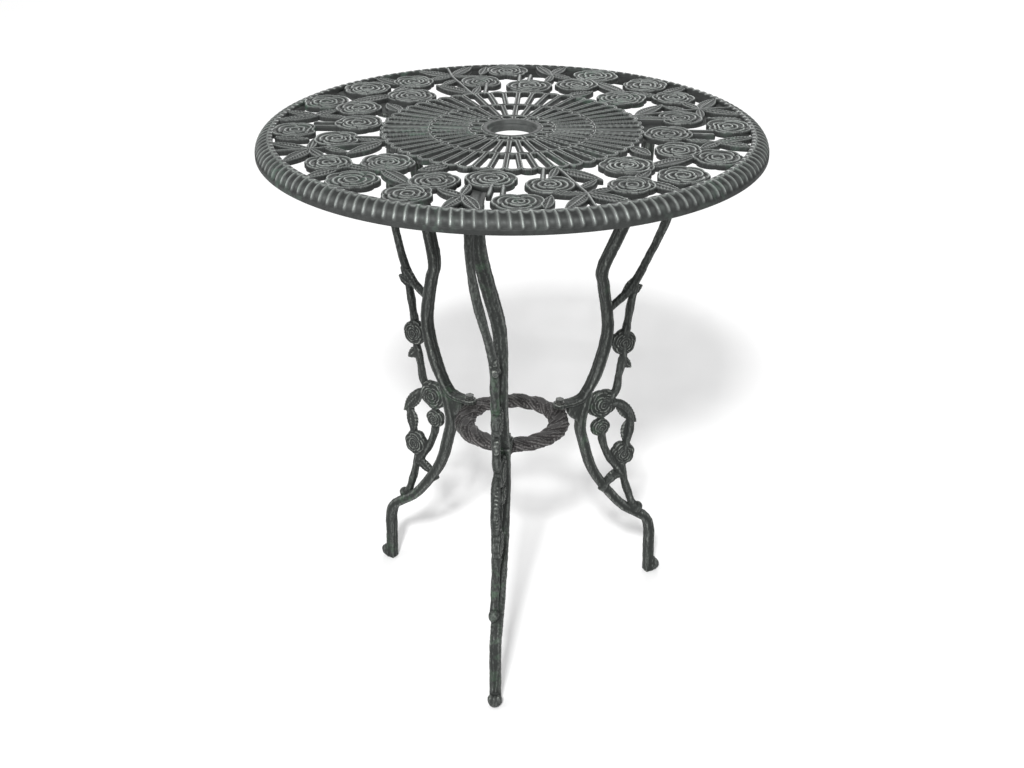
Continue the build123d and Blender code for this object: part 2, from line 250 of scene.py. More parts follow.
def piece(name, mesh, material, nodes, angle=0.0):
    """Puts a mesh into the scene as a piece that rides on the table."""
    thing = placed(name, mesh)
    thing.rotation_euler[2] = angle
    if not mesh.materials:
        mesh.materials.append(material)
    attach(thing, ROOT)
    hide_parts(*nodes)


def clamp01(x):
    return np.clip(x, 0.0, 1.0)


def smooth_step(x):
    x = clamp01(x)
    return x * x * (3 - 2 * x)


# ---- materials -------------------------------------------------------------
class Nodes:
    """A material and short ways to add nodes to it."""

    def __init__(self, name):
        self.material = bpy.data.materials.new(name)
        self.material.use_nodes = True
        self.tree = self.material.node_tree
        self.shader = self.tree.nodes["Principled BSDF"]

    def add(self, kind, **settings):
        node = self.tree.nodes.new(kind)
        for key, value in settings.items():
            setattr(node, key, value)
        return node

    def link(self, source, target):
        self.tree.links.new(source, target)

    def noise(self, place, scale, detail, roughness=0.55):
        node = self.add("ShaderNodeTexNoise")
        node.inputs["Scale"].default_value = scale
        node.inputs["Detail"].default_value = detail
        node.inputs["Roughness"].default_value = roughness
        self.link(place, node.inputs["Vector"])
        return node.outputs["Fac"]

    def math(self, operation, *values, clamp=False):
        node = self.add("ShaderNodeMath", operation=operation, use_clamp=clamp)
        for socket, value in zip(node.inputs, values):
            if isinstance(value, (int, float)):
                socket.default_value = value
            else:
                self.link(value, socket)
        return node.outputs[0]

    def ramp(self, value, low, high, out_low=0.0, out_high=1.0):
        node = self.add("ShaderNodeMapRange", interpolation_type="SMOOTHSTEP")
        self.link(value, node.inputs["Value"])
        settings = {"From Min": low, "From Max": high, "To Min": out_low, "To Max": out_high}
        for key, number in settings.items():
            node.inputs[key].default_value = number
        return node.outputs["Result"]

    def mix(self, share, first, second):
        node = self.add("ShaderNodeMix", data_type="RGBA")
        self.link(share, node.inputs["Factor"])
        for socket, value in ((node.inputs[6], first), (node.inputs[7], second)):
            if isinstance(value, tuple):
                socket.default_value = (*value, 1.0)
            else:
                self.link(value, socket)
        return node.outputs[2]

    def bump(self, height, strength, distance):
        node = self.add("ShaderNodeBump")
        node.inputs["Strength"].default_value = strength
        node.inputs["Distance"].default_value = distance
        self.link(height, node.inputs["Height"])
        return node


patch_scale, blotch_scale, speck_scale, grain_scale, green_scale = 18.0, 95.0, 420.0, 1500.0, 11.0
stain_scale, scratch_scale = 260.0, 1400.0


def cast_paint(name, dark, mid, worn, verdigris, green_amount, wear_amount):
    """Antique painted casting: dark hollows, pale rubbed ridges, specks of verdigris, fine grain; the
    relief attribute also brings in the rim's painted highlight.
    """
    n = Nodes(name)
    place = n.add("ShaderNodeNewGeometry").outputs["Position"]
    relief = n.add("ShaderNodeAttribute", attribute_name="relief").outputs["Fac"]
    patches = n.noise(place, patch_scale, 3.0)
    blotches = n.noise(place, blotch_scale, 4.0)
    specks = n.noise(place, speck_scale, 3.0, 0.65)
    grain = n.noise(place, grain_scale, 2.0)

    # tone follows the relief attribute; on the rim this includes a painted highlight on each panel's
    # bump
    tone = n.math("ADD", relief, n.math("MULTIPLY_ADD", blotches, 0.8, -0.4))
    colour = n.mix(n.ramp(tone, -0.8, 0.35), dark, mid)
    patchy = n.ramp(patches, 0.35, 0.7, 0.45, 1.0)
    rubbed = n.ramp(n.math("ADD", relief, n.math("MULTIPLY_ADD", specks, 0.9, -0.45)), 0.2, 0.95)
    worn_share = n.math("MULTIPLY", n.math("MULTIPLY", rubbed, patchy), wear_amount, clamp=True)
    colour = n.mix(worn_share, colour, worn)
    green_patch = n.ramp(n.noise(place, green_scale, 2.0), 0.5, 0.72)
    green_speck = n.ramp(blotches, 0.47, 0.62)
    green_share = n.math("MULTIPLY", n.math("MULTIPLY", green_patch, green_speck), green_amount,
                         clamp=True)
    colour = n.mix(green_share, colour, verdigris)
    n.link(colour, n.shader.inputs["Base Color"])

    rough = n.ramp(tone, -0.6, 0.9, 0.66, 0.44)
    uneven = n.math("MULTIPLY_ADD", specks, 0.14, -0.07)
    n.link(n.math("ADD", rough, uneven, clamp=True), n.shader.inputs["Roughness"])
    n.shader.inputs["Metallic"].default_value = 0.35
    n.shader.inputs["Specular IOR Level"].default_value = 0.5

    coarse = n.bump(blotches, 0.25, 0.0006)
    fine = n.bump(n.math("ADD", grain, specks), 0.3, 0.0002)
    n.link(coarse.outputs["Normal"], fine.inputs["Normal"])
    n.link(fine.outputs["Normal"], n.shader.inputs["Normal"])
    return n.material


def plated_steel(name, base, pale, roughness):
    """Dulled steel of the fasteners: stained in patches, with fine scratches."""
    n = Nodes(name)
    place = n.add("ShaderNodeNewGeometry").outputs["Position"]
    stain = n.ramp(n.noise(place, stain_scale, 5.0, 0.6), 0.35, 0.68)
    scratch = n.noise(place, scratch_scale, 3.0)
    n.link(n.mix(stain, base, pale), n.shader.inputs["Base Color"])
    n.link(n.ramp(scratch, 0.2, 0.8, roughness - 0.08, roughness + 0.14),
           n.shader.inputs["Roughness"])
    n.shader.inputs["Metallic"].default_value = 0.85
    n.link(n.bump(scratch, 0.2, 0.0001).outputs["Normal"], n.shader.inputs["Normal"])
    return n.material


top_paint = cast_paint("top_paint", (0.018, 0.020, 0.019), (0.086, 0.092, 0.089),
                       (0.33, 0.36, 0.34), (0.09, 0.17, 0.12), 0.35, 0.85)
leg_paint = cast_paint("leg_paint", (0.016, 0.019, 0.017), (0.070, 0.076, 0.071),
                       (0.30, 0.32, 0.29), (0.08, 0.17, 0.09), 0.32, 0.9)
ring_paint = cast_paint("ring_paint", (0.020, 0.018, 0.018), (0.105, 0.100, 0.098),
                        (0.26, 0.25, 0.245), (0.07, 0.12, 0.08), 0.1, 0.8)
bolt_steel = plated_steel("bolt_steel", (0.03, 0.032, 0.03), (0.09, 0.095, 0.09), 0.42)
washer_steel = plated_steel("washer_steel", (0.10, 0.10, 0.10), (0.22, 0.22, 0.21), 0.38)


# ---- tabletop: relief of roses, leaves and sunburst ------------------------
edge_round = 2.3
leaf_growth, rose_growth = 1.15, 1.05
grid_pitch = 0.95
grid_reach = rim_inner + 4.0
everywhere = (slice(None), slice(None))
far = 50.0


class Field:
    """Grid of signed distance inside the casting's outline, and of height below the top plane."""

    def __init__(self):
        half = math.ceil(grid_reach / grid_pitch)
        axis = np.arange(-half, half + 1) * grid_pitch
        self.half = half
        self.x, self.y = np.meshgrid(axis, axis, indexing="ij")
        self.inside = np.full(self.x.shape, -far)
        self.drop = np.full(self.x.shape, far)
        self.accent = np.zeros(self.x.shape)

    def window(self, cx, cy, reach):
        """Slices of the grid that cover a square round a point."""
        low = [max(0, int((c - reach) / grid_pitch) + self.half) for c in (cx, cy)]
        high = [int((c + reach) / grid_pitch) + self.half + 2 for c in (cx, cy)]
        return slice(low[0], high[0]), slice(low[1], high[1])

    def merge(self, where, inside, drop, accent=0.0):
        """Adds one feature: outline, depth under the top plane, and how much paler its paint is."""
        self.inside[where] = np.maximum(self.inside[where], inside)
        lying = np.where(inside > -grid_pitch * 1.5, drop, far)
        self.accent[where] = np.where(lying < self.drop[where], accent, self.accent[where])
        self.drop[where] = np.minimum(self.drop[where], lying)

    def relief(self):
        """Height over the mean height of the metal round each point, in millimetres."""
        metal = (self.inside > 0).astype(float)
        level, share = self.drop * metal, metal
        for _ in range(3):
            for axis in (0, 1):
                level = (np.roll(level, 1, axis) + level + np.roll(level, -1, axis)) / 3
                share = (np.roll(share, 1, axis) + share + np.roll(share, -1, axis)) / 3
        return level / np.maximum(share, 0.05) - self.drop


def edge_drop(inside, radius=edge_round):
    """How far a rounded edge lies below its crest, at a distance inside the outline."""
    reach = np.clip(radius - inside, 0.0, radius)
    return radius - np.sqrt(np.maximum(radius * radius - reach * reach, 0.0))


def ridge(distance, width):
    return np.exp(-((distance / width) ** 2))


def notch_share(angle, notch, width):
    """1 at the notch's angle, and next to nothing away from it."""
    return ridge((angle - notch + math.pi) % (2 * math.pi) - math.pi, width)


def rose_outline(angle, radius, petals, phase, notch, notch_depth):
    """Lobed outline of a rose, with an optional notch at one angle."""
    lobes = 0.90 + 0.10 * np.abs(np.sin(petals * (angle - phase) / 2)) ** 0.7
    lobes = lobes * (1 + 0.035 * np.sin(2 * angle + 3 * phase))
    return radius * (lobes - notch_depth * notch_share(angle, notch, 0.33))


# where each style's outer petals end, then its inner whorls: share of the radius, petals, turn
whorls = {
    "open": (0.95, [(0.71, 4, 0.5), (0.48, 3, 0.2), (0.26, 2, 0.8)]),
    "shell": (0.96, [(0.77, 4, 0.4), (0.58, 3, 0.1), (0.40, 3, 0.7), (0.21, 2, 0.3)]),
    "heart": (0.94, [(0.68, 3, 0.5), (0.42, 2, 0.25), (0.22, 2, 0.6)]),
}
notch_depths = {"open": 0.0, "shell": 0.0, "heart": 0.24}
petal_floor, petal_rim, petal_groove, petal_swell, bud_height = 1.9, 1.75, 0.75, 0.35, 1.4
typical_rose = 26.0


def rose_depth(distance, angle, radius, style, petals, phase, notch):
    """Depth of a rose's surface below the top plane: whorls of petals with raised rims."""
    line = radius / typical_rose
    depth = np.full(distance.shape, petal_floor)
    edge_share, inner_whorls = whorls[style]
    for share, count, turn in [(edge_share, petals, 0.0)] + inner_whorls:
        u = (count * (angle - phase - turn * math.pi) / (2 * math.pi)) % 1.0
        swell = 0.88 + 0.16 * np.sin(math.pi * u) ** 0.7 + 0.17 * (u - 0.5)
        swell = swell + 0.07 * np.cos(angle - 5 * phase - 7 * share)
        if share == edge_share:
            swell = rose_outline(angle, 1.0, petals, phase, notch, notch_depths[style])
        elif style == "heart":
            swell = swell - 0.22 * notch_share(angle, notch, 0.4)
        rim_line = radius * share * swell
        depth -= petal_rim * ridge(distance - rim_line, 1.25 * line)
        depth += petal_groove * ridge(distance - rim_line - 2.2 * line, 1.1 * line)
        depth -= petal_swell * ridge(distance - rim_line + 1.8 * line, 1.6 * line)
    return np.maximum(depth - bud_height * ridge(distance, 1.9 * line), 0.0)


def add_rose(field, rng, distance, angle, radius, style, petals):
    cx, cy = distance * math.cos(angle), distance * math.sin(angle)
    where = field.window(cx, cy, radius * 1.12)
    dx, dy = field.x[where] - cx, field.y[where] - cy
    reach = np.hypot(dx, dy)
    turn = np.arctan2(dy, dx)
    phase = rng.uniform(0, 2 * math.pi)
    notch = angle + math.pi
    outline = rose_outline(turn, radius, petals, phase, notch, notch_depths[style])
    inside = (outline - reach) * 0.96
    depth = rose_depth(reach, turn, radius, style, petals, phase, notch)
    field.merge(where, inside, depth + edge_drop(inside, 1.7))


def leaf_terms(u, v, length, width):
    """Signed distance inside a leaf and its surface's depth; u runs from 0 at the base to 1."""
    share = clamp01(u)
    half = width / 2 * np.sin(math.pi * share ** 0.82) ** 0.8
    ends = np.minimum(u, 1 - u) * length
    inside = np.minimum(half - np.abs(v), ends + 0.4)
    depth = 1.5 - 1.2 * ridge(np.abs(v) - half + 1.0, 0.9) - 1.1 * ridge(v, 0.9)
    along = (u * length - np.abs(v) * 0.9) / 4.6
    veins = 0.5 + 0.5 * np.cos(2 * math.pi * along)
    depth = depth - 0.55 * veins ** 2 * (np.abs(v) < half - 1.0)
    return inside, np.maximum(depth, 0.0)


def line_terms(field, start, end, margin):
    """Window round a line, and each point's share along it, offset from it, and the length."""
    dx, dy = end[0] - start[0], end[1] - start[1]
    length = math.hypot(dx, dy)
    cx, cy = (start[0] + end[0]) / 2, (start[1] + end[1]) / 2
    where = field.window(cx, cy, length / 2 + margin)
    px, py = field.x[where] - start[0], field.y[where] - start[1]
    return where, (px * dx + py * dy) / length ** 2, (py * dx - px * dy) / length, length


leaf_sink, stem_sink = 0.35, 0.25


def add_leaf(field, base, tip, width):
    where, u, v, length = line_terms(field, base, tip, 4)
    inside, depth = leaf_terms(u, v, length, width)
    field.merge(where, inside, depth + leaf_sink + edge_drop(inside, 1.5))


def add_stem(field, start, end, width):
    where, u, v, length = line_terms(field, start, end, width)
    inside = width / 2 - np.hypot((u - clamp01(u)) * length, v)
    field.merge(where, inside, edge_drop(inside, width / 2) + stem_sink)


sunburst_trim, hub_overlap = 4.0, 3.0
spoke_sink, spoke_line = 0.9, 0.75


def add_sunburst(field):
    """Spokes between arched rings."""
    reach = np.hypot(field.x, field.y)
    turn = np.arctan2(field.y, field.x)
    solid = np.full(reach.shape, far)
    for ring, count in enumerate(sunburst_gaps):
        inner_end = sunburst_radii[ring] + ring_band / 2
        outer_end = sunburst_radii[ring + 1] - ring_band / 2
        step = 2 * math.pi / count
        off_gap = (turn % step) - step / 2
        across = reach * np.sin(off_gap)
        half = np.maximum(reach * math.sin(step / 2) - spoke_width / 2, 0.9)
        end_half = outer_end * math.sin(step / 2) - spoke_width / 2
        corner = np.minimum(half, max(end_half - 0.3, 0.8))
        qx = np.abs(across) - (half - corner)
        qy = reach - (outer_end - corner)
        gap = np.hypot(np.maximum(qx, 0), np.maximum(qy, 0)) + np.minimum(np.maximum(qx, qy), 0)
        gap = np.maximum(gap - corner, inner_end - reach)
        solid = np.minimum(solid, gap)
    arch = np.hypot(reach * np.cos(off_gap) - (outer_end - end_half), across)
    inside = np.minimum(solid, np.maximum(outer_end + ring_band / 2 - sunburst_trim - reach,
                                          end_half + ring_band - arch))
    depth = edge_drop(inside, 1.0) + spoke_sink * smooth_step(inside - 1.3)
    field.merge(everywhere, inside, depth, ridge(inside - 1.0, spoke_line) - 0.35)


def turned(x, y, angle):
    """Coordinates x and y after a turn about the table's axis."""
    c, s = math.cos(angle), math.sin(angle)
    return x * c - y * s, x * s + y * c


def polar(distance, degrees, turn):
    angle = math.radians(degrees) + turn
    return distance * math.cos(angle), distance * math.sin(angle)


def add_border(field):
    """Narrow ledge that ties the roses to the rim."""
    reach = np.hypot(field.x, field.y)
    inside = reach - (rim_inner - 0.5)
    field.merge(everywhere, inside, edge_drop(inside, 1.6) + 1.2, -0.3)


def tabletop_field():
    field = Field()
    rng = np.random.default_rng(7)
    add_sunburst(field)
    add_border(field)
    for quarter in range(pattern_repeats):
        turn = 2 * math.pi / pattern_repeats * quarter
        for base, tip, width in leaves:
            add_leaf(field, polar(*base, turn), polar(*tip, turn), width * leaf_growth)
        for start, end, width in stems:
            add_stem(field, polar(*start, turn), polar(*end, turn), width)
        for distance, degrees, radius, style, petals in roses:
            angle = math.radians(degrees) + turn
            add_rose(field, rng, distance, angle, radius * rose_growth, style, petals)
    reach = np.hypot(field.x, field.y)
    field.inside = np.minimum(field.inside, grid_reach - 1.0 - reach)
    field.inside = np.minimum(field.inside, reach - (hub_radius - hub_overlap))
    return field


def relief_plate():
    """Closed mesh of the pierced plate, with outlines moved onto the pattern's smooth edges."""
    field = tabletop_field()
    inside = field.inside
    filled = inside[:-1, :-1] + inside[1:, :-1] + inside[1:, 1:] + inside[:-1, 1:] > 0
    rows, columns = inside.shape
    i, j = np.nonzero(filled)
    corners = np.stack([i * columns + j, (i + 1) * columns + j, (i + 1) * columns + j + 1,
                        i * columns + j + 1], 1)
    used, quads = np.unique(corners, return_inverse=True)
    quads = quads.reshape(-1, 4)
    edges = np.concatenate([quads[:, [k, (k + 1) % 4]] for k in range(4)])
    keys = edges[:, 0] * len(used) + edges[:, 1]
    twins = edges[:, 1] * len(used) + edges[:, 0]
    border = edges[~np.isin(keys, twins)]

    slope_x, slope_y = np.gradient(inside, grid_pitch)
    slope_x, slope_y = slope_x.ravel()[used], slope_y.ravel()[used]
    distance = inside.ravel()[used]
    x, y = field.x.ravel()[used].copy(), field.y.ravel()[used].copy()
    on_border = np.zeros(len(used), bool)
    on_border[border.ravel()] = True
    on_border |= distance < 0
    steep = np.maximum(slope_x ** 2 + slope_y ** 2, 0.25)
    limit = grid_pitch * 0.8
    x -= np.where(on_border, np.clip(distance * slope_x / steep, -limit, limit), 0)
    y -= np.where(on_border, np.clip(distance * slope_y / steep, -limit, limit), 0)
    drop = field.drop.ravel()[used]
    drop = np.where(drop > 20, edge_round, drop)
    drop = np.where(on_border, np.clip(drop, edge_round * 0.8, edge_round + 1.2), drop)
    drop = np.clip(drop, 0.0, plate_thickness - 2.0)

    x, y = turned(x, y, pattern_turn)
    upper = np.stack([x, y, table_height - drop], 1)
    lower = level_row(x, y, table_height - plate_thickness)
    low = len(upper)
    walls = np.stack([border[:, 1], border[:, 0], border[:, 0] + low, border[:, 1] + low], 1)
    relief = np.tanh(field.relief().ravel()[used] / 0.45) + field.accent.ravel()[used]
    relief = np.where(on_border, np.minimum(relief, -0.1), relief)
    relief = np.concatenate([np.clip(relief, -1, 1), np.full(low, -0.5)])
    return (np.concatenate([upper, lower]), [quads, quads[:, ::-1] + low, walls]), relief


rim_ribs = 152
rib_half_width, rib_slant = 1.8, 0.30
arch_share, arch_rise, arch_line_width = 0.17, 0.13, 0.045
hollow_depth = 1.7
# belly: a bump on each panel, raised in shape and also painted paler, a painted highlight
belly_height, belly_share, belly_spread = 0.8, 0.63, 0.14
lip_share, lip_fade = 0.87, 0.07
crest_inset = 2.0


def rim_profile():
    """Closed section of the rim as (radius, height), and how far over its crest each point lies."""
    top, bottom = table_height, table_height - rim_depth
    shoulder = bottom + rim_lip
    crest = rim_inner + crest_inset
    arc_steps = 26
    arc = [(k / arc_steps) * math.pi / 2 for k in range(arc_steps + 1)]
    inner_wall = rim_inner - 1.5
    inner_face = [(inner_wall, top - 5.5), (inner_wall, top - 2.8), (rim_inner - 1.1, top - 1.3)]
    over = [(rim_inner - 0.4, top - 0.5), (rim_inner + 0.7, top - 0.1)]
    over += [(crest + (table_radius - crest) * math.sin(a), shoulder + (top - shoulder) * math.cos(a))
             for a in arc]
    lip = [(table_radius, shoulder - 1.2), (table_radius, bottom + 1.0), (table_radius - 0.8, bottom),
           (table_radius - 5.0, bottom), (table_radius - 6.0, bottom + 1.0)]
    back = [(table_radius - 6.0, shoulder), (table_radius - 9.5, shoulder + 6.5),
            (rim_inner + 6.0, top - plate_thickness)]
    share = [-1.0] * len(inner_face) + list(np.linspace(0.0, 1.0, len(over)))
    share += [-1.0] * len(lip + back)
    return np.array(inner_face + over + lip + back), np.array(share)


def rim_ring():
    """Rolled rim: slanted ribs joined by arches at the inner edge, hollow panels, a plain lip; each
    panel's bump is painted paler as a painted highlight.
    """
    profile, share = rim_profile()
    turn = full_turn(rim_ribs * (14))[:, None]
    s = share[None]
    on_ribs = s > -0.5
    tilt = clamp01(s) * math.pi / 2
    u = (turn * rim_ribs / (2 * math.pi) - rib_slant * np.sin(tilt)) % 1.0
    rib_spacing = 2 * math.pi / rim_ribs * (rim_inner + rim_width / 2)
    rib = ridge(np.minimum(u, 1 - u) * rib_spacing, rib_half_width)
    arch_end = arch_share - arch_rise * (2 * u - 1) ** 2
    beyond = smooth_step((s - arch_end) / 0.06)
    fade = 1 - smooth_step((s - lip_share) / lip_fade)
    hollow = (1 - rib) * beyond * fade * on_ribs
    belly = ridge(s - belly_share, belly_spread) * np.sin(math.pi * u) ** 2
    sink = (hollow_depth - belly_height * belly) * hollow
    radius = profile[None, :, 0] - sink * np.sin(tilt)
    height = profile[None, :, 1] - sink * np.cos(tilt)
    arch_line = ridge(s - arch_end, arch_line_width)
    worn = np.maximum(rib, arch_line) * (1 - smooth_step((s - 0.78) / 0.16)) * on_ribs
    # pale rubbed ribs and arch lines, plus 0.45 * belly: a painted highlight on each panel's bump
    relief = -0.55 + 1.5 * worn + 0.45 * belly * on_ribs
    return ring_solid(turn, radius, height), relief.ravel()


def hub_ring():
    """Stepped hub round the parasol hole."""
    outer, step, bore = hub_radius, counterbore_radius, hole_radius
    floor = counterbore_depth
    section = [
        (outer + 0.8, 6.0), (outer + 0.8, 2.2), (outer + 0.2, 1.0), (outer - 1.0, 0.25),
        (outer - 2.4, 0.02), (step + 1.8, 0.02), (step + 0.6, 0.35), (step, 1.1),
        (step, floor - 0.4), (step - 0.4, floor), (bore + 0.8, floor), (bore, floor + 0.8),
        (bore, hub_depth - 0.6), (bore + 0.6, hub_depth), (outer - 1.2, hub_depth),
        (outer, hub_depth - 1.2), (outer, 8.0),
    ]
    radius, depth = np.array(section).T
    turn = full_turn(240)[:, None]
    return ring_solid(turn, radius[None], table_height - depth[None])


# ---- closed swept solids ---------------------------------------------------
def spline_points(controls, pitch):
    """Evenly spaced points on a smooth curve through the control points (Catmull-Rom)."""
    controls = np.asarray(controls, float)
    ends = np.vstack([2 * controls[0] - controls[1], controls, 2 * controls[-1] - controls[-2]])
    dense = []
    for k in range(1, len(ends) - 2):
        t = np.linspace(0, 1, 24, endpoint=False)[:, None]
        p0, p1, p2, p3 = ends[k - 1:k + 3]
        dense.append(0.5 * (2 * p1 + (p2 - p0) * t + (2 * p0 - 5 * p1 + 4 * p2 - p3) * t ** 2
                            + (3 * p1 - p0 - 3 * p2 + p3) * t ** 3))
    dense = np.vstack(dense + [controls[-1:]])
    length = np.concatenate([[0], np.cumsum(np.linalg.norm(np.diff(dense, axis=0), axis=1))])
    count = max(4, int(round(length[-1] / pitch)))
    at = np.linspace(0, length[-1], count + 1)
    return np.stack([np.interp(at, length, dense[:, axis]) for axis in range(3)], 1)


def closed_rows(rows):
    """Closed solid from rings of points, with a fan to the middle of the ring at each end."""
    size = len(rows[0])
    points = np.vstack(rows + [rows[0].mean(0)[None], rows[-1].mean(0)[None]])
    ring, last = np.arange(size), (len(rows) - 1) * size
    beside, tip = np.roll(ring, -1), np.full(size, last + size)
    first_end = np.stack([tip, beside, ring], 1)
    last_end = np.stack([ring + last, beside + last, tip + 1], 1)
    return points, [grid_faces(len(rows), size, False), first_end, last_end]


def swept(path, outline_at):
    """Closed solid along a path; outline_at(share) gives the section's (across, in plane) offsets."""
    path = np.asarray(path)
    along = np.gradient(path, axis=0)
    along /= np.linalg.norm(along, axis=1)[:, None]
    side = np.tile([0.0, 1.0, 0.0], (len(path), 1))
    side -= along * (side * along).sum(1)[:, None]
    side /= np.linalg.norm(side, axis=1)[:, None]
    face = np.cross(along, side)
    rows = []
    for k in range(len(path)):
        across, deep = outline_at(k / (len(path) - 1))
        rows.append(path[k] + across[:, None] * side[k] + deep[:, None] * face[k])
    return closed_rows(rows)


def rounded_section(broad, deep, steps, square):
    """Section of a cast bar: angles and (across, deep) offsets of a rounded rectangle."""
    t = full_turn(steps)
    c, s = np.cos(t), np.sin(t)
    reach = (np.abs(c) ** square + np.abs(s) ** square) ** (-1 / square)
    return t, broad / 2 * c * reach, deep / 2 * s * reach


def disc_solid(centre, radius, half_height):
    """Plain upright boss with rounded edges."""
    t = full_turn(40)
    rows = []
    for share, height in ((0.6, -1.0), (0.9, -1.0), (1.0, -0.8), (1.0, 0.8), (0.9, 1.0), (0.6, 1.0)):
        x, y = centre[0] + radius * share * np.cos(t), centre[1] + radius * share * np.sin(t)
        rows.append(level_row(x, y, centre[2] + half_height * height))
    return closed_rows(rows)


def local_frame(along, normal):
    """Unit vectors along a direction, to its side, and nearest to the given normal."""
    along = along / np.linalg.norm(along)
    normal = normal - along * np.dot(normal, along)
    normal = normal / np.linalg.norm(normal)
    return along, np.cross(normal, along), normal


def rose_solid(centre, radius, half_height, rng):
    """Rose in a leg's plane, with petals on both faces."""
    side, normal, up = np.eye(3)
    petals = int(rng.integers(5, 8))
    phase = rng.uniform(0, 2 * math.pi)
    style = "shell" if radius > 15 else "open"
    t, rings = full_turn(110), max(12, int(radius / 0.6))
    share = np.arange(1, rings + 1) / rings
    outline = rose_outline(t, radius, petals, phase, 0.0, 0.0)
    reach = share[:, None] * outline[None]
    cut = rose_depth(reach, np.broadcast_to(t, reach.shape), radius, style, petals, phase, 0.0)
    dome = half_height * (1.0 - 0.22 * share ** 2) * (1 - share ** 9) ** 0.4
    height = np.maximum(dome[:, None] - 0.85 * cut * (share[:, None] < 0.97), 0.6)
    around = np.cos(t)[:, None] * up + np.sin(t)[:, None] * side
    rows = []
    for face, order in ((1, range(rings)), (-1, reversed(range(rings)))):
        for ring in order:
            flat = np.asarray(centre) + reach[ring][:, None] * around
            rows.append(flat + face * height[ring][:, None] * normal)
    return closed_rows(rows)


def leaf_solid(base, tip, width, half_height, normal=(0, 1, 0), bow=0.0, cup=0.0):
    """Leaf with a midrib and side veins on both faces; bow lifts its middle, cup its edges."""
    base, tip = np.asarray(base, float), np.asarray(tip, float)
    along, side, normal = local_frame(tip - base, normal)
    length = float(np.linalg.norm(tip - base))
    count, half_steps = max(14, int(length / 0.8)), 12
    s = np.linspace(-1, 1, 2 * half_steps + 1)
    rows = []
    for k in range(count + 1):
        u = 0.02 + 0.96 * k / count
        half = width / 2 * math.sin(math.pi * u ** 0.82) ** 0.8 + 0.5
        half *= 1 + 0.07 * math.sin(2 * math.pi * u * length / 5.0)
        v = s * half
        cut = leaf_terms(np.full(s.shape, u), v, length, width)[1]
        body = half_height * (0.25 + 0.75 * np.sqrt(np.maximum(1 - s ** 2, 0)))
        body = body * (0.45 + 0.55 * math.sin(math.pi * u)) - 0.8 * cut * (1 - s ** 6)
        body = np.maximum(body, 0.5)
        middle = bow * math.sin(math.pi * u) + cup * s ** 2
        at = base + along * (u * length)
        upper = at + v[:, None] * side + (middle + body)[:, None] * normal
        lower = at + v[:, None] * side + (middle - body)[:, None] * normal
        rows.append(np.vstack([upper, lower[::-1]]))
    return closed_rows(rows)


def fused(name, parts, voxel, finish):
    """One closed skin round all the parts, by a voxel remesh; finish moves its points."""
    rough = mesh_from(name + "_rough", *joined(parts))
    carrier = placed(name + "_rough", rough)
    remesh = carrier.modifiers.new("remesh", "REMESH")
    remesh.mode = "VOXEL"
    remesh.voxel_size = voxel * MM
    soften = carrier.modifiers.new("soften", "SMOOTH")
    soften.factor = 0.5
    soften.iterations = 1
    bpy.context.view_layer.update()
    graph = bpy.context.evaluated_depsgraph_get()
    mesh = bpy.data.meshes.new_from_object(carrier.evaluated_get(graph))
    bpy.data.objects.remove(carrier)
    bpy.data.meshes.remove(rough)
    mesh.name = name
    points = finish(*points_and_normals(mesh))
    mesh.vertices.foreach_set("co", (points * MM).ravel())
    mesh.update()
    mesh.shade_smooth()
    return mesh


def rough_skin(points, normals, depth, size, stretch=1.0):
    """Moves points along their normals by a fine noise, as sand casting leaves a surface."""
    scale = np.array([1 / size, 1 / size, 1 / (size * stretch)])
    lift = [noise.fractal(Vector(spot), 0.6, 2.0, 3) for spot in points * scale]
    return points + normals * (np.array(lift) * depth)[:, None]


# ---- tabletop --------------------------------------------------------------
bar_inner, bar_breadth, bar_thin_end = 138.0, 22.0, 4.0
bar_slope_start, bar_slope_reach = 232.0, 46.0
sway = 22.0


def mounting_bar(angle):
    """Bar under the top that a leg is bolted to, thinning out towards the rim."""
    top = table_height - plate_thickness + 1.0
    full = top - flange_top
    x = np.linspace(bar_inner, rim_inner + 3.0, 80)
    depth = full - (full - bar_thin_end) * smooth_step((x - bar_slope_start) / bar_slope_reach)
    depth = depth - 2.0 * smooth_step((bar_inner + 2.5 - x) / 2.5)
    path = np.stack([x, np.full(len(x), -sway), top - depth / 2], 1)

    def outline(share):
        k = int(round(share * (len(x) - 1)))
        _, across, deep = rounded_section(bar_breadth, depth[k], 40, 7.0)
        return across, deep

    points, faces = swept(path, outline)
    x, y, z = points.T
    return np.stack([*turned(x, y, angle), z], 1), faces


def build_tabletop():
    plate, plate_relief = relief_plate()
    rim, rim_relief_and_highlight = rim_ring()
    plain = [hub_ring()] + [mounting_bar(angle) for angle in leg_angles]
    mesh = mesh_from("tabletop_casting", *joined([plate, rim] + plain))
    plain_count = sum(len(points) for points, _ in plain)
    # the rim's values include a painted highlight on each panel's bump
    store_relief(mesh, np.concatenate([plate_relief, rim_relief_and_highlight, np.full(plain_count, -0.1)]))
    piece("tabletop_casting", mesh, top_paint, ["tabletop"])


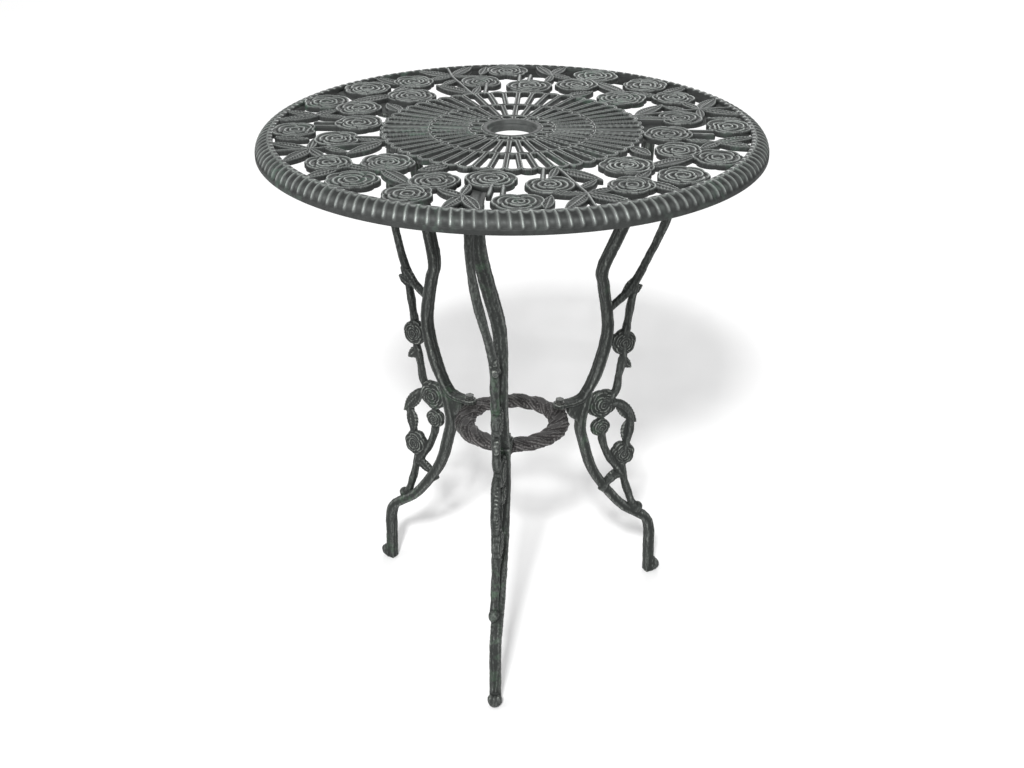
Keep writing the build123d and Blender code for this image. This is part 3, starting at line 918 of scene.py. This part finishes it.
# ---- legs: outlines in a leg's own plane, as (distance from the centre, height)
upper_stem = [
    (172, 650), (167, 600), (142, 525), (124, 476), (128, 449), (135.6, 390), (122.5, 335),
    (104, 302), (90, 294.8), (78, 294), (68, 294),
]
lower_stem = [
    (108, 306), (99, 263), (103, 235), (121, 181), (159.5, 126), (186, 104), (203, 90),
    (210, 72), (211, 40), (212, 0.5),
]
vines = [
    [(207, 650), (209, 620), (210, 580), (206, 540), (197, 510), (186, 483), (174, 457),
     (160, 438), (136, 421)],
    [(171, 448), (165, 417), (162, 395), (158, 368)],
    [(158, 368), (157, 345), (152, 322), (148, 300), (134, 286)],
    [(129, 284), (152, 281), (168, 266), (172, 244), (168, 222), (162, 202)],
    [(127, 250), (132, 224), (141, 203), (153, 184), (160, 172)],
    [(160, 190), (166, 160), (173, 138), (179, 122), (188, 108)],
    [(164, 172), (150, 170), (138, 162), (130, 152)],
]
leg_roses = [(158, 368, 18.0), (129, 284, 21.5), (162, 202, 18.5), (127, 250, 13.5)]
leg_leaves = [
    ((160, 434), (183, 444), 11.0),
    ((179, 457), (151, 432), 12.0),
    ((152, 346), (171, 329), 11.0),
    ((150, 284), (182, 245), 15.0),
    ((170, 252), (165, 217), 15.0),
    ((162, 178), (133, 161), 12.0),
]
vine_side = -4.0
vine_diameter = 10.6
stem_deep, stem_broad = 12.0, 17.5
foot_deep, foot_broad = 13.0, 14.5
strap_deep, strap_broad = 6.0, 18.0
strap_level = 294.0
flange_thickness = 6.0
flange_span, flange_half = (143.0, 223.0), 10.0
ring_bolt_radius = 68.0
seat_radius = 7.0
gusset_inner, gusset_outer, gusset_bottom, gusset_breadth = 78.5, 103.0, 266.0, 12.0
gusset_taper, gusset_taper_top, gusset_taper_height = 15.0, 285.0, 22.0
bud_point, bud_radius = (187.0, 112.0), 8.5
toe_centre, toe_radius = (219.0, 8.5), 9.5
knuckle_radius, knuckle_side = 6.0, 4.2
sway_start, sway_rise = 430.0, 180.0
rose_half_height, leaf_half_height, leaf_margin = 7.6, 4.6, 2.0
leg_skin_depth, leg_skin_size, leg_skin_stretch = 0.4, 4.5, 2.5
path_pitch = 1.1
leg_voxel = 0.85


def side_at(z):
    """Sideways position of a leg's plane at height z."""
    return -sway * smooth_step((z - sway_start) / sway_rise)


def in_plane(points, side=0.0):
    """Smooth path in a leg's plane, swayed sideways."""
    path = spline_points([(x, 0.0, z) for x, z in points], path_pitch)
    path[:, 1] = side_at(path[:, 2]) + side
    return path


def stem_solid(points, start_size, end_size, growth, seed):
    """Stem with raised edges, a hollow along each side and bark ridges on its front and back."""
    start_size, end_size = np.array(start_size), np.array(end_size)

    def outline(share):
        broad, deep = start_size + (end_size - start_size) * growth(share)
        t, across, depth = rounded_section(broad, deep, 64, 4.5)
        across = across - np.sign(across) * 0.9 * ridge(np.sin(t), 0.42)
        bark = np.cos(9 * t + 1.4 * math.sin(23 * share + seed) + seed)
        bark += 0.5 * np.cos(14 * t - 1.7 * math.sin(37 * share + 2 * seed))
        face = ridge(np.cos(t), 0.75)
        return across * (1 + 0.012 * bark * face), depth * (1 + 0.055 * bark * face)

    return swept(in_plane(points), outline)


def vine_solid(points, seed):
    """Vine with swellings along it, to one side of the stem's plane."""
    def outline(share):
        t = full_turn(28)
        swell = 1 + 0.06 * math.sin(17 * share + seed) + 0.045 * np.cos(5 * t + 6 * share + seed)
        reach = vine_diameter / 2 * swell
        return reach * np.cos(t), reach * np.sin(t)

    return swept(in_plane(points, vine_side), outline)


def gusset_solid():
    """Web in the corner between strap and lower stem."""
    rows = 24
    height = np.linspace(strap_level - 1, gusset_bottom, rows)
    taper = smooth_step((gusset_taper_top - height) / gusset_taper_height)
    inner = gusset_inner + gusset_taper * taper
    path = np.stack([(inner + gusset_outer) / 2, np.zeros(rows), height], 1)

    def outline(share):
        k = int(round(share * (rows - 1)))
        _, across, deep = rounded_section(gusset_breadth, gusset_outer - inner[k], 40, 4.5)
        return across, deep

    return swept(path, outline)


def flange_solid():
    """Slot-ended plate that the top is bolted to."""
    start, end = flange_span
    middle = flange_top - flange_thickness / 2
    rows = []
    t = full_turn(72)
    shift = np.where(np.cos(t) > 0, end - flange_half, start + flange_half)
    for inset, height in ((4.0, -1.0), (1.0, -1.0), (0.0, -0.75), (0.0, 0.75), (1.0, 1.0), (4.0, 1.0)):
        reach = flange_half - inset
        x, y = shift + reach * np.cos(t), -sway + reach * np.sin(t)
        rows.append(level_row(x, y, middle + height * flange_thickness / 2))
    return closed_rows(rows)


def ball_solid(centre, radius, squash):
    """Ball, or one squashed along each axis."""
    rows = []
    t = full_turn(36)
    for lift in np.linspace(-0.98, 0.98, 25):
        reach = radius * math.cos(lift * math.pi / 2)
        level = radius * math.sin(lift * math.pi / 2)
        x, y = centre[0] + squash[0] * reach * np.cos(t), centre[1] + squash[1] * reach * np.sin(t)
        rows.append(level_row(x, y, centre[2] + squash[2] * level))
    return closed_rows(rows)


def toe_solids():
    """Toe at the foot's outer side: a ball with a knuckle on each side."""
    x, z = toe_centre
    solids = [ball_solid((x, 0.0, z), toe_radius, (0.95, 0.95, 0.95))]
    for side in (knuckle_side, -knuckle_side):
        solids.append(ball_solid((x + 1.5, side, z + 2.0), knuckle_radius, (1.0, 0.8, 1.2)))
    return solids


def finish_leg(points, normals):
    points = rough_skin(points, normals, leg_skin_depth, leg_skin_size, leg_skin_stretch)
    away = np.hypot(points[:, 0] - ring_bolt_radius, points[:, 1])
    seat = (away < seat_radius) & (points[:, 2] > strap_level)
    points[seat, 2] = np.minimum(points[seat, 2], strap_level + strap_deep / 2)
    points[:, 2] = np.clip(points[:, 2], 0.0, flange_top)
    return points


def build_legs():
    rng = np.random.default_rng(11)
    parts = [
        stem_solid(upper_stem, (stem_broad, stem_deep), (strap_broad, strap_deep),
                   lambda share: smooth_step((share - 0.8) / 0.15), 0.7),
        stem_solid(lower_stem, (stem_broad, stem_deep), (foot_broad, foot_deep),
                   lambda share: share, 2.1),
        gusset_solid(),
        flange_solid(),
        disc_solid((ring_bolt_radius, 0.0, strap_level), strap_broad / 2, strap_deep / 2),
        ball_solid((bud_point[0], vine_side, bud_point[1]), bud_radius, (1.0, 0.8, 1.0)),
    ]
    parts += toe_solids()
    parts += [vine_solid(points, float(k)) for k, points in enumerate(vines)]
    for x, z, radius in leg_roses:
        centre = (x, side_at(z) + vine_side / 2, z)
        parts.append(rose_solid(centre, radius, rose_half_height, rng))
    for base, tip, width in leg_leaves:
        side = side_at((base[1] + tip[1]) / 2) + vine_side / 2
        ends = (base[0], side, base[1]), (tip[0], side, tip[1])
        parts.append(leaf_solid(*ends, width + leaf_margin, leaf_half_height))
    mesh = fused("leg_casting", parts, leg_voxel, finish_leg)
    add_relief(mesh, leg_relief_level)
    for name, angle in zip(leg_names, leg_angles):
        piece(f"leg_{name}_casting", mesh, leg_paint, [f"leg_{name}"], angle)


# ---- wreath ----------------------------------------------------------------
wreath_voxel = 0.7
wreath_centre = 60.5
wreath_leaves = 30
core_half_width, core_half_height = 12.3, 7.6
strands, twists = 3, 15
ridges, ridge_twists = 13, 44
leaf_offset, leaf_lean, leaf_length = 5.0, 17.0, 29.0
leaf_width, leaf_half_thickness, leaf_bow, leaf_cup = 15.0, 3.2, 1.4, -1.2
leaf_tilt, leaf_lift, base_sink, tip_rise = 0.45, 2.6, 1.8, 1.0
boss_radius = 8.0


def twisted_core(level):
    """Ring of twisted strands with fine ridges, the core of the garland."""
    turn, s = full_turn(600)[:, None], full_turn(90)[None]
    bulge = 1 + 0.12 * np.cos(strands * s + twists * turn)
    bulge += 0.035 * np.cos(ridges * s + ridge_twists * turn)
    reach = wreath_centre + core_half_width * bulge * np.cos(s)
    return ring_solid(turn, reach, level + core_half_height * bulge * np.sin(s))


def finish_wreath(points, normals):
    points = rough_skin(points, normals, 0.3, 3.5)
    points[:, 2] = np.clip(points[:, 2], wreath_low, wreath_high)
    reach = np.hypot(points[:, 0], points[:, 1])
    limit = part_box("wreath_ring")[1][0] / MM
    points[:, :2] *= np.minimum(1, limit / reach)[:, None]
    return points


def build_wreath():
    """Garland: a twisted core under veined leaves that lean in and out by turns."""
    rng = np.random.default_rng(5)
    middle = (wreath_low + wreath_high) / 2
    up = np.array([0.0, 0.0, 1.0])
    parts = [twisted_core(middle)]
    for k in range(wreath_leaves):
        side = 1 if k % 2 else -1
        angle = 2 * math.pi / wreath_leaves * k
        radius = wreath_centre + leaf_offset * side
        out = np.array([math.cos(angle), math.sin(angle), 0.0])
        ahead = np.array([-math.sin(angle), math.cos(angle), 0.0])
        lean = math.radians(leaf_lean + rng.uniform(-4, 4)) * side
        direction = ahead * math.cos(lean) + out * math.sin(lean)
        length = leaf_length + rng.uniform(-2, 2)
        centre = out * radius + middle * up
        for face in (1, -1):
            normal = face * up + out * side * leaf_tilt
            lift = face * leaf_lift * up
            base = centre - direction * length / 2 + lift - face * base_sink * up
            tip = centre + direction * length / 2 + lift + face * tip_rise * up
            parts.append(leaf_solid(base, tip, leaf_width, leaf_half_thickness, normal,
                                    leaf_bow, leaf_cup))
    for angle in leg_angles:
        boss = (ring_bolt_radius * math.cos(angle), ring_bolt_radius * math.sin(angle), middle)
        parts.append(disc_solid(boss, boss_radius, (wreath_high - wreath_low) / 2))
    mesh = fused("wreath_casting", parts, wreath_voxel, finish_wreath)
    add_relief(mesh, wreath_relief_level)
    piece("wreath_casting", mesh, ring_paint, ["wreath_ring"])


# ---- fasteners -------------------------------------------------------------
def finish_fasteners():
    """The CAD's own bolts, nuts and washers, in worn steel."""
    for name, thing in frame["nodes"].items():
        if "washer" in name:
            material = washer_steel
        elif "bolt" in name or "nut" in name:
            material = bolt_steel
        else:
            continue
        thing.data.materials.clear()
        thing.data.materials.append(material)


# ---- floor, light and camera -----------------------------------------------
floor_half = 6.0
floor_white = (0.9, 0.9, 0.9, 1.0)
world_strength = 0.56
aim_point = (0.0, 0.0, 0.35)
lights = [
    ("key", (-0.29, -8.1, 7.3), 1.1, 1040.0),
    ("fill", (-3.0, -1.2, 1.6), 2.0, 30.0),
    ("back", (0.0, 6.0, 3.0), 3.0, 100.0),
]


def build_stage():
    """White floor, even white surroundings and three soft lights, the key from the front."""
    corners = [(x * floor_half, y * floor_half, 0) for x, y in ((-1, -1), (1, -1), (1, 1), (-1, 1))]
    mesh = bpy.data.meshes.new("floor")
    mesh.from_pydata(corners, [], [(0, 1, 2, 3)])
    floor = placed("floor", mesh)
    n = Nodes("floor_white")
    n.shader.inputs["Base Color"].default_value = floor_white
    n.shader.inputs["Roughness"].default_value = 0.8
    mesh.materials.append(n.material)

    bpy.context.scene.view_settings.view_transform = "Standard"
    world = bpy.data.worlds.new("studio")
    bpy.context.scene.world = world
    world.use_nodes = True
    background = world.node_tree.nodes["Background"]
    background.inputs["Color"].default_value = (1.0, 1.0, 1.0, 1.0)
    background.inputs["Strength"].default_value = world_strength

    for name, place, width, power in lights:
        data = bpy.data.lights.new(name, "AREA")
        data.size = width
        data.energy = power
        light = placed(name, data)
        light.location = place
        aim = Vector(aim_point) - Vector(place)
        light.rotation_euler = aim.to_track_quat("-Z", "Y").to_euler()


def build_camera():
    """Camera 1.7 m in front of the table and 1.2 m above the floor, looking down at it."""
    azimuth, distance, height, pitch = math.radians(-84.4), 1.7407, 1.2079, 0.46468
    camera = bpy.data.cameras.new("camera")
    camera.sensor_width = 36.0
    camera.lens = 53.79
    camera.shift_y = 0.00195
    place = placed("camera", camera)
    place.location = (distance * math.cos(azimuth), distance * math.sin(azimuth), height)
    place.rotation_euler = (math.pi / 2 - pitch, 0.0, azimuth + math.pi / 2)
    bpy.context.scene.camera = place


build_tabletop()
build_legs()
build_wreath()
finish_fasteners()
build_stage()
build_camera()
